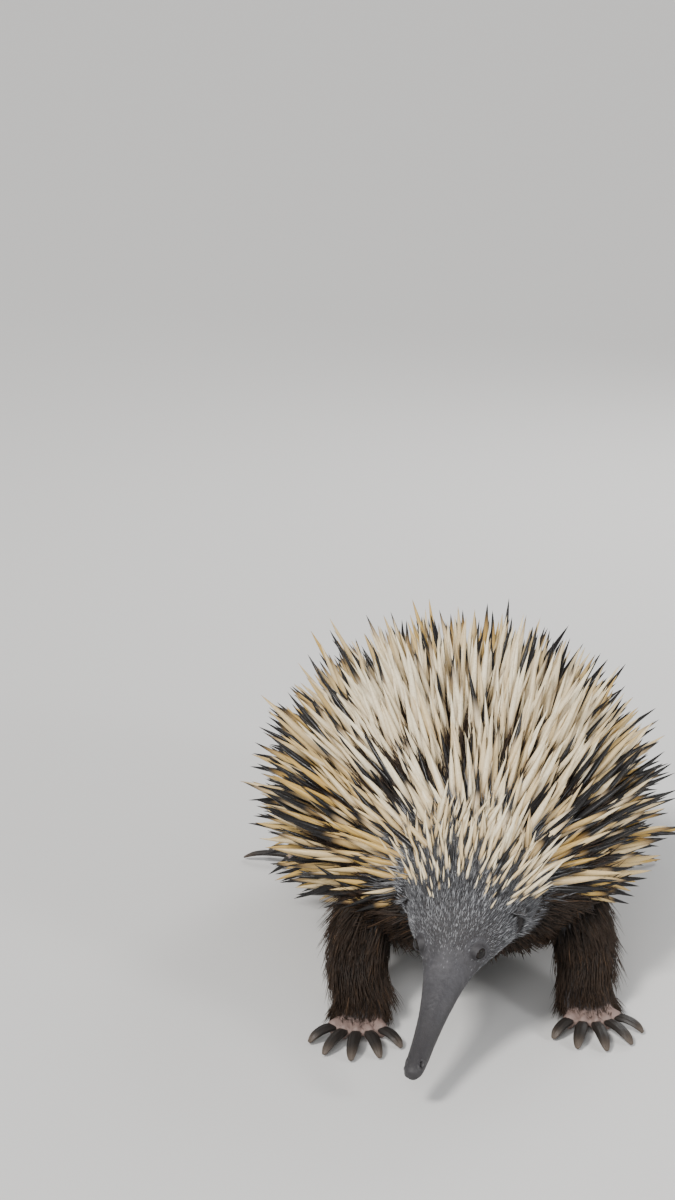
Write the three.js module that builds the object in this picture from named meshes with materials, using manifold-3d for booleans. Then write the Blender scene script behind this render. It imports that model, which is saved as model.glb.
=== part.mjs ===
import * as THREE from "three";
import { mergeVertices } from "three/addons/utils/BufferGeometryUtils.js";
import Module from "manifold-3d";

// A short-beaked echidna, adult and life size, standing on four feet with its spines half raised and its beak
// held low and turned to its right. Millimetres, +Z up. It faces -Y, its own left side is at +X, and its soles
// lie on one level. The head, legs and tail are trimmed to sit against the trunk with a gap of GAP, and the
// spines of the trunk keep clear of them.

const wasm = await Module();
wasm.setup();

const DEG = THREE.MathUtils.degToRad(1);
const { smoothstep } = THREE.MathUtils;

// Driving dimensions

const GAP = 0.3;
const SEED = 11;
const TRUNK_LENGTH = 266;
const TRUNK_FRONT = -112; // Y of the nape's end
const HEAD_LENGTH = 136; // from inside the nape to the beak's tip
const HEAD_BEHIND = 10; // how much of the head lies behind the neck's pivot
const NECK = new THREE.Vector3(0, -88, 80);
const HEAD_TURN = -20 * DEG; // about +Z, towards its own right
const HEAD_DROP = 24 * DEG; // below the horizontal
const BEAK_ROOT = 62; // where the bare beak begins, ahead of the neck's pivot
const STRIDE = 9; // how far one foot of a pair stands ahead of the other

const SPINE = {
  apart: 12.6, // between neighbours in a row
  rowsApart: 11.3,
  radius: 2.1, // where it is thickest
  widest: 9, // how far above the skin that is
  sunk: 12, // how deep its root goes
  sides: 3,
  uneven: 0.15, // how much its length varies
  stray: 2.6, // how far its root strays from its place in the row
  sway: 6 * DEG, // how far it leans away from the lie of its neighbours
  clear: 0.6, // the room round it that other sub-parts keep
};

// Where spines grow on each form: from and to along it, cover to each side of its top, lean away from the way out
// of the skin, and reach from the skin to the tip.
const TRUNK_COAT = {
  from: 0.01,
  to: 0.99,
  cover: (t) => (106 + 12 * smoothstep(t, 0.1, 0.3) + 6 * smoothstep(t, 0.8, 0.95)) * DEG,
  lean: (t) =>
    (62 - 24 * smoothstep(t, 0.05, 0.5) - 14 * smoothstep(t, 0.5, 0.8) - 16 * smoothstep(t, 0.8, 0.97)) * DEG,
  reach: (t, angle) =>
    (32 + 14 * smoothstep(t, 0, 0.35) - 6 * smoothstep(t, 0.7, 1)) *
    (1 - 0.25 * smoothstep(Math.abs(angle), 85 * DEG, 120 * DEG)),
};
const CROWN_COAT = {
  from: 0.015,
  to: 0.34,
  cover: () => 86 * DEG,
  lean: () => -62 * DEG,
  reach: (t) => 24 - 10 * smoothstep(t, 0.015, 0.34),
};
const TAIL_COAT = {
  from: 0.2,
  to: 0.97,
  cover: () => 105 * DEG,
  lean: () => 50 * DEG,
  reach: () => 30,
};

// Girths at even steps along each form: where its centre line is, and how far it reaches to each side, up and down.

const TRUNK_GIRTHS = [
  { part: "nape", height: 82, wide: 55, high: 42, deep: 44 },
  { part: "shoulders", height: 73, wide: 74, high: 62, deep: 54 },
  { part: "ribs", height: 69, wide: 83, high: 71, deep: 51 },
  { part: "loins", height: 68, wide: 87, high: 73, deep: 51 },
  { part: "hips", height: 67, wide: 85, high: 69, deep: 51 },
  { part: "rump", height: 65, wide: 78, high: 55, deep: 49 },
];

const HEAD_GIRTHS = [
  { part: "nape", rise: 0, wide: 37, high: 33, deep: 31 },
  { part: "ears", rise: 0, wide: 35, high: 31, deep: 28 },
  { part: "brow", rise: -2, wide: 27, high: 25, deep: 20 },
  { part: "beak's root", rise: -6.5, wide: 14.5, high: 12.5, deep: 11.5 },
  { part: "beak's thick half", rise: -9, wide: 9.2, high: 8.6, deep: 8 },
  { part: "beak's thin half", rise: -10, wide: 7, high: 6.6, deep: 6 },
  { part: "beak's tip", rise: -9, wide: 6.4, high: 6, deep: 5.6 },
];

const EYE = { ahead: 50, angle: 62 * DEG, radius: 4, sunk: 2.4, lid: 1.25 };
const EAR = { ahead: 27, angle: 88 * DEG, tall: 9, long: 5, thick: 1.5, wide: 2.4, stands: 1.2 };
const NOSTRIL = { ahead: 119, angle: 40 * DEG, radii: [1.1, 2, 1.1] };
const MOUTH = { ahead: 117.5, long: 14, wide: 30, high: 0.8, below: 2.6 };
const LIP = { radii: [5.2, 7.5, 2.3], below: 4.5 };

const TAIL_GIRTHS = [
  { at: [0, 140, 65], wide: 27, high: 24, deep: 22 },
  { at: [0, 158, 59], wide: 22, high: 19, deep: 18 },
  { at: [0, 176, 50], wide: 15, high: 13, deep: 12 },
  { at: [0, 193, 40], wide: 8, high: 7, deep: 7 },
];

// A leg stands in a frame of its own, with its wrist or ankle over the origin and its toes towards -Y. at[0] is
// how far a station lies towards the outside.
const FORELEG = {
  stance: [60, -82],
  turn: 8 * DEG,
  girths: [
    { at: [-15, 36, 74], wide: 22, high: 24, deep: 24 },
    { at: [-2, 28, 50], wide: 20, high: 21, deep: 19 },
    { at: [3, 14, 29], wide: 17, high: 16, deep: 15 },
    { at: [0, -1, 14], wide: 15.5, high: 11, deep: 12 },
    { at: [-1, -15, 7], wide: 18, high: 8.5, deep: 9 },
    { at: [-1, -27, 4.5], wide: 16, high: 6, deep: 6 },
  ],
  palm: [-1, -12],
  toeReach: 15,
  digits: [
    { fan: -46, claw: 17 },
    { fan: -22, claw: 22 },
    { fan: 0, claw: 24 },
    { fan: 22, claw: 22 },
    { fan: 45, claw: 17 },
  ],
  clawWide: 3.3,
};
const HINDLEG = {
  stance: [71, 102],
  turn: 128 * DEG,
  girths: [
    { at: [0, 36, 62], wide: 28, high: 30, deep: 28 },
    { at: [2, 25, 43], wide: 24, high: 24, deep: 22 },
    { at: [1, 12, 26], wide: 18, high: 17, deep: 16 },
    { at: [0, -2, 13], wide: 13.5, high: 11, deep: 12 },
    { at: [0, -16, 7], wide: 14.5, high: 8.5, deep: 9 },
    { at: [0, -29, 4.5], wide: 13, high: 6, deep: 6 },
  ],
  palm: [0, -16],
  toeReach: 13,
  digits: [
    { fan: -52, claw: 7 },
    { fan: -24, claw: 31 },
    { fan: 0, claw: 22 },
    { fan: 24, claw: 14 },
    { fan: 48, claw: 10 },
  ],
  clawWide: 2.3,
};

// A closed form swept along a smooth path through its stations, with elliptical sections and rounded ends.
// A place on it is t, from 0 to 1 along it, and an angle round it from its top.
class Form {
  constructor(stations, across, bluntness) {
    this.path = new THREE.CatmullRomCurve3(
      stations.map((s) => new THREE.Vector3(...s.at)),
      false,
      "catmullrom",
    );
    this.girths = new THREE.CatmullRomCurve3(
      stations.map((s) => new THREE.Vector3(s.wide, s.high, s.deep)),
      false,
      "catmullrom",
    );
    this.across = new THREE.Vector3(...across);
    this.bluntness = bluntness;
  }

  // How far the section is drawn in by the rounding of the ends.
  rounding(t) {
    return (1 - Math.abs(2 * t - 1) ** this.bluntness) ** (1 / this.bluntness);
  }

  skin(t, angle) {
    const along = this.path.getTangent(t);
    const side = this.across.clone().addScaledVector(along, -this.across.dot(along)).normalize();
    const up = along.clone().cross(side);
    const { x: wide, y: high, z: deep } = this.girths.getPoint(t);
    const rise = Math.cos(angle);
    return this.path
      .getPoint(t)
      .addScaledVector(side, Math.sin(angle) * wide * this.rounding(t))
      .addScaledVector(up, rise * (rise > 0 ? high : deep) * this.rounding(t));
  }

  // The directions out of the surface and along it towards the far end.
  facing(t, angle) {
    const step = 1e-3;
    const inside = THREE.MathUtils.clamp(t, 2 * step, 1 - 2 * step);
    const backward = this.skin(inside + step, angle).sub(this.skin(inside - step, angle)).normalize();
    const round = this.skin(inside, angle + step).sub(this.skin(inside, angle - step));
    const out = backward.clone().cross(round).normalize();
    return { out, backward };
  }

  place(t, angle, lift) {
    const { out } = this.facing(t, angle);
    if (t < 1e-6) out.copy(this.path.getTangent(0)).negate();
    if (t > 1 - 1e-6) out.copy(this.path.getTangent(1));
    return this.skin(t, angle).addScaledVector(out, lift);
  }

  // A sphere whose rings are moved out to the form, which lift raises above the surface.
  geometry(around, along, lift = () => 0) {
    const sphere = new THREE.SphereGeometry(1, around, along);
    const spots = sphere.getAttribute("position");
    for (let i = 0; i < spots.count; i++) {
      const t = THREE.MathUtils.clamp((1 - spots.getY(i)) / 2, 0, 1);
      const pole = Math.hypot(spots.getX(i), spots.getZ(i)) < 1e-6;
      const angle = pole ? 0 : Math.atan2(spots.getX(i), spots.getZ(i));
      spots.setXYZ(i, ...this.place(t, angle, lift(t, angle)));
    }
    return sphere;
  }
}

function solid(geometry) {
  const bare = geometry.clone();
  bare.deleteAttribute("normal");
  bare.deleteAttribute("uv");
  const merged = mergeVertices(bare, 1e-3);
  return new wasm.Manifold(
    new wasm.Mesh({
      numProp: 3,
      vertProperties: merged.getAttribute("position").array,
      triVerts: new Uint32Array(merged.index.array),
    }),
  );
}

// The largest closed surface of a solid, as a geometry.
function geometryOf(made) {
  const body = made.decompose().reduce((a, b) => (a.volume() > b.volume() ? a : b));
  const mesh = body.getMesh();
  const geometry = new THREE.BufferGeometry();
  geometry.setAttribute("position", new THREE.BufferAttribute(mesh.vertProperties, 3));
  geometry.setIndex(new THREE.BufferAttribute(mesh.triVerts, 1));
  geometry.computeVertexNormals();
  return geometry;
}

function join(solids) {
  return wasm.Manifold.union(solids);
}

// Evenly spread numbers from 0 to 1, the same on every run.
function seeded(seed) {
  let state = seed;
  return () => {
    state = (state + 0x6d2b79f5) | 0;
    let mixed = Math.imul(state ^ (state >>> 15), 1 | state);
    mixed = (mixed + Math.imul(mixed ^ (mixed >>> 7), 61 | mixed)) ^ mixed;
    return ((mixed ^ (mixed >>> 14)) >>> 0) / 4294967296;
  };
}

// Forms

const trunkForm = new Form(
  TRUNK_GIRTHS.map((girth, i) => ({
    at: [0, TRUNK_FRONT + (TRUNK_LENGTH * i) / (TRUNK_GIRTHS.length - 1), girth.height],
    ...girth,
  })),
  [-1, 0, 0],
  2.5,
);
const headForm = new Form(
  HEAD_GIRTHS.map((girth, i) => ({
    at: [0, HEAD_BEHIND - (HEAD_LENGTH * i) / (HEAD_GIRTHS.length - 1), girth.rise],
    ...girth,
  })),
  [1, 0, 0],
  7,
);
const tailForm = new Form(TAIL_GIRTHS, [-1, 0, 0], 3);

const echidna = new THREE.Group();
const headGroup = new THREE.Group();
headGroup.position.copy(NECK);
headGroup.rotation.set(HEAD_DROP, 0, HEAD_TURN, "ZXY");
echidna.add(headGroup);
echidna.updateMatrixWorld(true);

function addMesh(group, name, geometry, material) {
  const mesh = new THREE.Mesh(geometry, material);
  mesh.name = name;
  group.add(mesh);
}

// Every mesh of a group as a solid in the echidna's frame.
function solidsOf(group) {
  group.updateMatrixWorld(true);
  const solids = [];
  group.traverse((o) => {
    if (o.isMesh) solids.push(solid(o.geometry.clone().applyMatrix4(o.matrixWorld)));
  });
  return solids;
}

// A geometry given in the echidna's frame, as seen from a group inside it.
function seenFrom(group, geometry) {
  return geometry.clone().applyMatrix4(group.matrixWorld.clone().invert());
}

const furMaterial = new THREE.MeshStandardMaterial({ color: 0x3a2a1c, roughness: 0.95 });
const spineMaterial = new THREE.MeshStandardMaterial({ color: 0xb99a5c, roughness: 0.45 });
const beakMaterial = new THREE.MeshStandardMaterial({ color: 0x3b3a3c, roughness: 0.6 });
const eyeMaterial = new THREE.MeshStandardMaterial({ color: 0x0a0806, roughness: 0.08 });

const TRUNK_AROUND = 36;
const TRUNK_ALONG = 24;
const trunkAndGap = trunkForm.geometry(TRUNK_AROUND, TRUNK_ALONG, () => GAP);

// Spines

// A spine is thickest a little above the skin and its root tapers to a point well inside the flesh.
function spine(root, direction, twist, length, extra = 0) {
  const { radius, sunk, widest, sides } = SPINE;
  const profile = [
    new THREE.Vector2(0, -sunk),
    new THREE.Vector2(radius + extra, widest),
    new THREE.Vector2(0, length + extra),
  ];
  const turn = new THREE.Quaternion().setFromUnitVectors(new THREE.Vector3(0, 1, 0), direction);
  return new THREE.LatheGeometry(profile, sides).rotateY(twist).applyQuaternion(turn).translate(...root);
}

// How long a form's skin is from the top down to an angle at one side.
function girthTo(form, t, angle) {
  const steps = 12;
  let sum = 0;
  for (let i = 0; i < steps; i++) {
    sum += form.skin(t, (angle * i) / steps).distanceTo(form.skin(t, (angle * (i + 1)) / steps));
  }
  return sum;
}

// Places for spines in rows round a form, evenly apart on its skin, with every other row shifted as in brickwork.
function spinePlaces(form, { from, to, cover }) {
  const places = [];
  const steps = 400;
  let walked = 0;
  let row = 0;
  for (let i = 0; i < steps; i++) {
    const t = from + ((to - from) * i) / steps;
    const next = from + ((to - from) * (i + 1)) / steps;
    walked += form.skin(t, 0).distanceTo(form.skin(next, 0));
    if (walked < SPINE.rowsApart * (row + 0.5)) continue;
    const edge = cover(t);
    const count = Math.round((2 * girthTo(form, t, edge)) / SPINE.apart);
    const shift = row % 2 ? 0.25 : -0.25;
    for (let k = 0; k < count; k++) places.push({ t, angle: edge * ((2 * (k + 0.5 + shift)) / count - 1) });
    row += 1;
  }
  return places;
}

const random = seeded(SEED);
const vary = (most) => most * (2 * random() - 1);

// The spines of a form's coat. One that would enter an obstacle is raised, and left out where that doesn't help.
function growSpines(form, coat, obstacles = []) {
  const spines = [];
  const long = form.path.getLength();
  for (const place of spinePlaces(form, coat)) {
    const t = THREE.MathUtils.clamp(place.t + vary(SPINE.stray) / long, 0.005, 0.995);
    const angle = place.angle + vary(SPINE.stray) / form.girths.getPoint(t).x;
    const root = form.skin(t, angle);
    const { out, backward } = form.facing(t, angle);
    const round = out.clone().cross(backward);
    const length = coat.reach(t, angle) * (1 + vary(SPINE.uneven));
    const sway = vary(SPINE.sway);
    const twist = vary(Math.PI);
    const lean = coat.lean(t) + vary(SPINE.sway);
    for (const raised of [0, 0.25, 0.5, 0.75]) {
      const direction = out
        .clone()
        .multiplyScalar(Math.cos(lean * (1 - raised)))
        .addScaledVector(backward, Math.sin(lean * (1 - raised)))
        .addScaledVector(round, Math.sin(sway))
        .normalize();
      const room = solid(spine(root, direction, twist, length, SPINE.clear));
      if (obstacles.some((obstacle) => !room.intersect(obstacle).isEmpty())) continue;
      spines.push(solid(spine(root, direction, twist, length)));
      break;
    }
  }
  return spines;
}

// Head, eyes, ears and beak

// How far along the head's form a place lies that is some millimetres ahead of the neck's pivot.
function headAt(ahead) {
  return (HEAD_BEHIND + ahead) / HEAD_LENGTH;
}

function ball(centre, radii, around, along) {
  return new THREE.SphereGeometry(1, around, along).scale(...radii).translate(...centre);
}

// A ring of eyelid round an eye, flattened so that the lids close in from above and below.
function lids(centre, out) {
  const ring = new THREE.TorusGeometry(EYE.radius + EYE.lid / 2, EYE.lid, 5, 10).scale(1.1, 0.8, 1);
  const turn = new THREE.Matrix4().lookAt(out, new THREE.Vector3(), new THREE.Vector3(0, 0, 1));
  return ring.applyMatrix4(turn).translate(...centre.clone().addScaledVector(out, EYE.sunk));
}

// A point on the rim of an ear, which stands up the side of the head. turn is 0 at the rim's hind edge.
function earRim(side, turn, share, lift) {
  const ahead = EAR.ahead - share * EAR.long * Math.cos(turn);
  const t = headAt(ahead);
  const angle = side * (EAR.angle - (share * EAR.tall * Math.sin(turn)) / headForm.girths.getPoint(t).x);
  return headForm.place(t, angle, lift);
}

// The cup of an ear: a C of gristle that stands on the head behind the ear's slit and opens forwards.
function earCup(side) {
  const { out } = headForm.facing(headAt(EAR.ahead), side * EAR.angle);
  const stations = [-120, -60, 0, 60, 120].map((turn) => ({
    at: earRim(side, turn * DEG, 1, EAR.stands).toArray(),
    wide: EAR.wide,
    high: EAR.thick,
    deep: EAR.thick,
  }));
  return new Form(stations, out.toArray(), 5).geometry(5, 6);
}

function earSlit(side) {
  return ball(earRim(side, 0, 0, 0), [EAR.wide, 0.5 * EAR.long, 0.7 * EAR.tall], 8, 5);
}

function nostril(side) {
  return ball(headForm.place(headAt(NOSTRIL.ahead), side * NOSTRIL.angle, 0), NOSTRIL.radii, 8, 5);
}

function eyeball(centre, radius) {
  return ball(centre, [radius, radius, radius], 12, 8);
}

const SIDES = [
  { name: "left", side: 1 },
  { name: "right", side: -1 },
];

const headParts = [solid(headForm.geometry(22, 26)), ...growSpines(headForm, CROWN_COAT)];
const headCuts = [solid(seenFrom(headGroup, trunkAndGap))];
for (const { name, side } of SIDES) {
  const { out } = headForm.facing(headAt(EYE.ahead), side * EYE.angle);
  const centre = headForm.place(headAt(EYE.ahead), side * EYE.angle, -EYE.sunk);
  headParts.push(solid(lids(centre, out)), solid(earCup(side)));
  headCuts.push(solid(eyeball(centre, EYE.radius + GAP)), solid(earSlit(side)), solid(nostril(side)));
  addMesh(headGroup, `eye_${name}`, eyeball(centre, EYE.radius), eyeMaterial);
}

// The mouth is a short slit round the beak's tip, over a lower lip.
const mouthMiddle = headForm.path.getPoint(headAt(MOUTH.ahead));
const slit = new THREE.BoxGeometry(MOUTH.wide, MOUTH.long, MOUTH.high);
headParts.push(solid(ball([0, -MOUTH.ahead, mouthMiddle.z - LIP.below], LIP.radii, 12, 7)));
headCuts.push(solid(slit.translate(0, -MOUTH.ahead - MOUTH.long / 4, mouthMiddle.z - MOUTH.below)));
const headAndBeak = join(headParts).subtract(join(headCuts));

// The head is parted from the bare beak where the fur ends.
const half = new THREE.BoxGeometry(HEAD_LENGTH, HEAD_LENGTH, HEAD_LENGTH);
const furred = solid(half.clone().translate(0, HEAD_LENGTH / 2 - BEAK_ROOT + GAP / 2, 0));
const bare = solid(half.clone().translate(0, -HEAD_LENGTH / 2 - BEAK_ROOT - GAP / 2, 0));
addMesh(headGroup, "head", geometryOf(headAndBeak.intersect(furred)), furMaterial);
addMesh(headGroup, "beak", geometryOf(headAndBeak.intersect(bare)), beakMaterial);

// Legs

const GROUND = new THREE.BoxGeometry(600, 600, 60).translate(0, 0, -30);
const TOE = { height: 4.8, radii: [5, 6, 5] };

// A claw's girths at shares of its length: it rises a little from the toe and bends down to a blunt tip.
const CLAW_GIRTHS = [
  { along: 0, height: 5.5, wide: 1, thick: 2.3 },
  { along: 0.4, height: 6, wide: 1, thick: 2 },
  { along: 0.75, height: 4.6, wide: 0.85, thick: 1.6 },
  { along: 1, height: 1.6, wide: 0.45, thick: 0.9 },
];

function digit(leg, side, { fan, claw }) {
  const angle = side * fan * DEG;
  const spot = (reach, height) => [
    side * leg.palm[0] + Math.sin(angle) * reach,
    leg.palm[1] - Math.cos(angle) * reach,
    height,
  ];
  const stations = CLAW_GIRTHS.map(({ along, height, wide, thick }) => ({
    at: spot(leg.toeReach + 2 + along * claw, height),
    wide: wide * leg.clawWide,
    high: thick,
    deep: thick,
  }));
  const clawForm = new Form(stations, [Math.cos(angle), Math.sin(angle), 0], 4);
  return [solid(ball(spot(leg.toeReach, TOE.height), TOE.radii, 6, 4)), solid(clawForm.geometry(4, 5))];
}

function addLeg(name, leg, side, step) {
  const group = new THREE.Group();
  group.position.set(side * leg.stance[0], leg.stance[1] + step, 0);
  group.rotation.z = side * leg.turn;
  echidna.add(group);
  echidna.updateMatrixWorld(true);
  const stations = leg.girths.map(({ at: [outside, behind, height], ...girth }) => ({
    at: [side * outside, behind, height],
    ...girth,
  }));
  const form = new Form(stations, [1, 0, 0], 3.5);
  const pieces = [solid(form.geometry(12, 9)), ...leg.digits.flatMap((one) => digit(leg, side, one))];
  const cuts = [solid(GROUND), solid(seenFrom(group, trunkAndGap))];
  addMesh(group, name, geometryOf(join(pieces).subtract(join(cuts))), furMaterial);
}

for (const { name, side } of SIDES) {
  addLeg(`foreleg_${name}`, FORELEG, side, (side * STRIDE) / 2);
  addLeg(`hindleg_${name}`, HINDLEG, side, (-side * STRIDE) / 2);
}

// Tail

const tailParts = [solid(tailForm.geometry(16, 9)), ...growSpines(tailForm, TAIL_COAT)];
addMesh(echidna, "tail", geometryOf(join(tailParts).subtract(solid(trunkAndGap))), spineMaterial);

// Trunk

const trunkParts = [
  solid(trunkForm.geometry(TRUNK_AROUND, TRUNK_ALONG)),
  ...growSpines(trunkForm, TRUNK_COAT, solidsOf(echidna)),
];
addMesh(echidna, "trunk", geometryOf(join(trunkParts)), spineMaterial);

// The origin is on the floor, under the middle of the whole outline.
const outline = new THREE.Box3().setFromObject(echidna, true);
const middle = outline.getCenter(new THREE.Vector3());
echidna.position.set(-middle.x, -middle.y, -outline.min.z);

export default echidna;
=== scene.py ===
"""A short-beaked echidna on four feet: its skin, spines, fur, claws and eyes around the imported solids.

The animal's forms are worked out in millimetres, in the frame that its solids are made in, and are moved to
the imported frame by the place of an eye. Every mesh is made in metres.
"""

import copy
import math
from collections import namedtuple

import bpy
import numpy as np
from mathutils import Matrix, Vector
from mathutils.bvhtree import BVHTree


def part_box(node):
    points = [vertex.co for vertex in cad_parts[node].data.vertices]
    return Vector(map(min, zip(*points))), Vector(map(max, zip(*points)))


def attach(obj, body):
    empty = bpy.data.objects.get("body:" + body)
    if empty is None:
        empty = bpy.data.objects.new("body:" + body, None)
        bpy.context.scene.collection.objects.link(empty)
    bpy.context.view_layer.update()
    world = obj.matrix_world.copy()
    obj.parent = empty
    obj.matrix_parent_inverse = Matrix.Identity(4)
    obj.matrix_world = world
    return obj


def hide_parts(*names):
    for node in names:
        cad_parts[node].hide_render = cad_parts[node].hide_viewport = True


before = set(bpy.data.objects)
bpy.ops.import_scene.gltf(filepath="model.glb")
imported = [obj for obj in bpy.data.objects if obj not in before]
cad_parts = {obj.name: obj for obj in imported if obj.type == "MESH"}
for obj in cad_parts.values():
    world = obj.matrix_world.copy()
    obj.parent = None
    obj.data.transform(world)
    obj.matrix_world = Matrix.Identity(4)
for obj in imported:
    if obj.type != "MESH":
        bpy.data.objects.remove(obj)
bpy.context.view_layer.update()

MM = 0.001
DEG = math.pi / 180


# Driving dimensions of the animal, in millimetres, as in its solids

TRUNK_LENGTH = 266
TRUNK_FRONT = -112
HEAD_LENGTH = 136
HEAD_BEHIND = 10
NECK = (0, -88, 80)
HEAD_TURN = -20 * DEG
HEAD_DROP = 24 * DEG
STRIDE = 9

# The height of each station's centre, and its reach to each side, up and down
TRUNK_GIRTHS = [
    (82, 55, 42, 44),
    (73, 74, 62, 54),
    (69, 83, 71, 51),
    (68, 87, 73, 51),
    (67, 85, 69, 51),
    (65, 78, 55, 49),
]
HEAD_GIRTHS = [
    (0, 37, 33, 31),
    (0, 35, 31, 28),
    (-2, 27, 25, 20),
    (-6.5, 14.5, 12.5, 11.5),
    (-9, 9.2, 8.6, 8),
    (-10, 7, 6.6, 6),
    (-9, 6.4, 6, 5.6),
]
# Each station's centre, and its reach to each side, up and down
TAIL_GIRTHS = [
    ((0, 140, 65), 27, 24, 22),
    ((0, 158, 59), 22, 19, 18),
    ((0, 176, 50), 15, 13, 12),
    ((0, 193, 40), 8, 7, 7),
]
FORELEG = {
    "stance": (60, -82),
    "turn": 8 * DEG,
    "girths": [
        ((-15, 36, 74), 22, 24, 24),
        ((-2, 28, 50), 20, 21, 19),
        ((3, 14, 29), 17, 16, 15),
        ((0, -1, 14), 15.5, 11, 12),
        ((-1, -15, 7), 18, 8.5, 9),
        ((-1, -27, 4.5), 16, 6, 6),
    ],
    "palm": (-1, -12),
    "toe_reach": 15,
    "digits": [(-46, 17), (-22, 22), (0, 24), (22, 22), (45, 17)],
    "claw_wide": 3.3,
}
HINDLEG = {
    "stance": (71, 102),
    "turn": 128 * DEG,
    "girths": [
        ((0, 36, 62), 28, 30, 28),
        ((2, 25, 43), 24, 24, 22),
        ((1, 12, 26), 18, 17, 16),
        ((0, -2, 13), 13.5, 11, 12),
        ((0, -16, 7), 14.5, 8.5, 9),
        ((0, -29, 4.5), 13, 6, 6),
    ],
    "palm": (0, -16),
    "toe_reach": 13,
    "digits": [(-52, 7), (-24, 31), (0, 22), (24, 14), (48, 10)],
    "claw_wide": 2.3,
}
EYE = {"ahead": 50, "angle": 62 * DEG, "radius": 4, "sunk": 2.4}
EAR = {"ahead": 27, "angle": 88 * DEG, "tall": 9, "long": 5}
NOSTRIL = {"ahead": 119, "angle": 40 * DEG}
MOUTH_DROP = 2.1  # how far the mouth's line lies below the beak's middle
OFF_FLOOR = 0.0002  # how high above the floor the lowest claws and hairs stay, in metres
SIDES = {"left": 1, "right": -1}


def smoothstep(x, low, high):
    """0 below low and 1 above high, with a smooth rise between them."""
    share = np.clip((x - low) / (high - low), 0, 1)
    return share * share * (3 - 2 * share)


def falling(x, low, high):
    return 1 - smoothstep(x, low, high)


def bell(x, wide):
    """1 at 0, and next to nothing from twice wide on."""
    return np.exp(-((x / wide) ** 2))


def unit(v):
    """Vectors at length 1, along the last axis."""
    return v / np.maximum(np.linalg.norm(v, axis=-1, keepdims=True), 1e-9)


def dot(a, b):
    return (a * b).sum(-1, keepdims=True)


def curve_at(points, t):
    """Places at t, from 0 to 1, on a smooth curve through evenly timed points."""
    points = np.vstack([2 * points[0] - points[1], points, 2 * points[-1] - points[-2]])
    place = np.clip(t, 0, 1) * (len(points) - 3)
    first = np.minimum(place.astype(int), len(points) - 4)
    w = (place - first)[:, None]
    a, b, c, d = (points[first + k] for k in range(4))
    return 0.5 * (2 * b + (c - a) * w + (2 * a - 5 * b + 4 * c - d) * w**2 + (3 * b - a - 3 * c + d) * w**3)


def walk(points):
    """How far along a line of points each of them lies."""
    return np.concatenate([[0], np.cumsum(np.linalg.norm(np.diff(points, axis=0), axis=1))])


POINTS_ALONG = 1500
POINTS_ROUND = 73
ROW_GAP = 0.88  # between rows, as a share of the gap within one


class Form:
    """A closed form swept through stations, with elliptical sections and rounded ends.

    A place on it is t, from 0 to 1 along it, and an angle round it from its top.
    """

    def __init__(self, stations, across, bluntness, place=Matrix.Identity(4)):
        self.centres = np.array([s[0] for s in stations], float)
        self.girths = np.array([s[1:] for s in stations], float)
        self.across = np.array(across, float)
        self.bluntness = bluntness
        self.turn = np.array(place.to_3x3())
        self.shift = np.array(place.translation)

    def skin(self, t, angle, lift=0.0):
        """Points on the form, or lift outside it, in the animal's frame."""
        t, angle = np.broadcast_arrays(np.asarray(t, float), np.asarray(angle, float))
        step = 1e-4
        along = unit(curve_at(self.centres, t + step) - curve_at(self.centres, t - step))
        side = unit(self.across - along * dot(along, self.across))
        up = np.cross(along, side)
        wide, high, deep = curve_at(self.girths, t).T + lift
        inside = np.clip(1 - np.abs(2 * np.clip(t, 0, 1) - 1) ** self.bluntness, 0, 1)
        rounding = inside ** (1 / self.bluntness)
        rise = np.cos(angle)
        local = curve_at(self.centres, t)
        local = local + side * (np.sin(angle) * wide * rounding)[:, None]
        local = local + up * (rise * np.where(rise > 0, high, deep) * rounding)[:, None]
        return local @ self.turn.T + self.shift

    def facing(self, t, angle):
        """The directions out of the form and along it towards its far end."""
        step = 1e-3
        t = np.clip(t, 2 * step, 1 - 2 * step)
        backward = unit(self.skin(t + step, angle) - self.skin(t - step, angle))
        around = self.skin(t, angle + step) - self.skin(t, angle - step)
        return unit(np.cross(backward, around)), backward

    def place(self, t, angle, lift):
        t, angle = np.array([t], float), np.array([angle], float)
        return (self.skin(t, angle) + self.facing(t, angle)[0] * lift)[0]

    def rows(self, apart, span, start, end, rng, stray=0.5):
        """Places evenly apart on the form, in rows shifted as in brickwork.

        Each is moved by up to stray of a step.
        """
        t = np.linspace(start, end, POINTS_ALONG)
        middle = 0.5 * (span(start)[0] + span(start)[1])
        walked = walk(self.skin(t, np.full_like(t, middle)))
        found = []
        for row, at in enumerate(np.arange(apart / 2, walked[-1], apart * ROW_GAP)):
            here = np.interp(at, walked, t)
            around = np.linspace(*span(here), POINTS_ROUND)
            girth = walk(self.skin(np.full_like(around, here), around))
            count = max(1, round(girth[-1] / apart))
            shift = 0.25 if row % 2 else -0.25
            share = (np.arange(count) + 0.5 + shift + stray * rng.uniform(-1, 1, count)) / count
            along = at + stray * apart * rng.uniform(-1, 1, count)
            found.append([np.interp(along, walked, t), np.interp(share * girth[-1], girth, around)])
        return np.concatenate(found, axis=1)


# The forms of the body


def evenly(girths, start, length):
    """Stations evenly along a form, from the height of each one's centre and its girths."""
    steps = len(girths) - 1
    return [((0, start + length * i / steps, height), *girth) for i, (height, *girth) in enumerate(girths)]


def set_down(spot, turn):
    """A place in the animal's frame, turned about the upright."""
    return Matrix.Translation(spot) @ Matrix.Rotation(turn, 4, "Z")


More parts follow.
